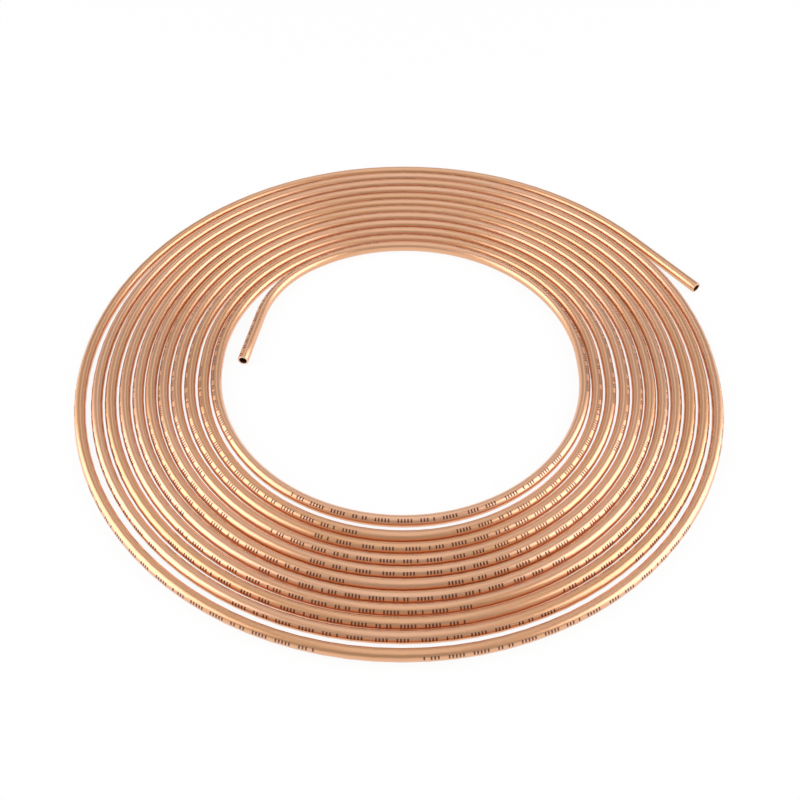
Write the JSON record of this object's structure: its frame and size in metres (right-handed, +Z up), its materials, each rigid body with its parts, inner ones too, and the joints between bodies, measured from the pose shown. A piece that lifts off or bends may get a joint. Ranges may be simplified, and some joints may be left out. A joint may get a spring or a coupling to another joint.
{
  "type": "copper tube coil",
  "caption": "Flat hand-wound coil of thin copper tube, one layer of spaced turns around an open eye, with square-cut free ends for fittings.",
  "frame": {"origin": "on the floor under the middle of the coil's outline", "axes": "+Z up, along the coil's axis; +X to the right; the front of the coil is towards -Y and the outer end leaves it at the right"},
  "size_m": [0.3686, 0.3674, 0.0063],
  "materials": {
    "copper": "satin drawn copper, bare"
  },
  "bodies": {
    "root": {"copper_tube": "copper"}
  },
  "joints": []
}
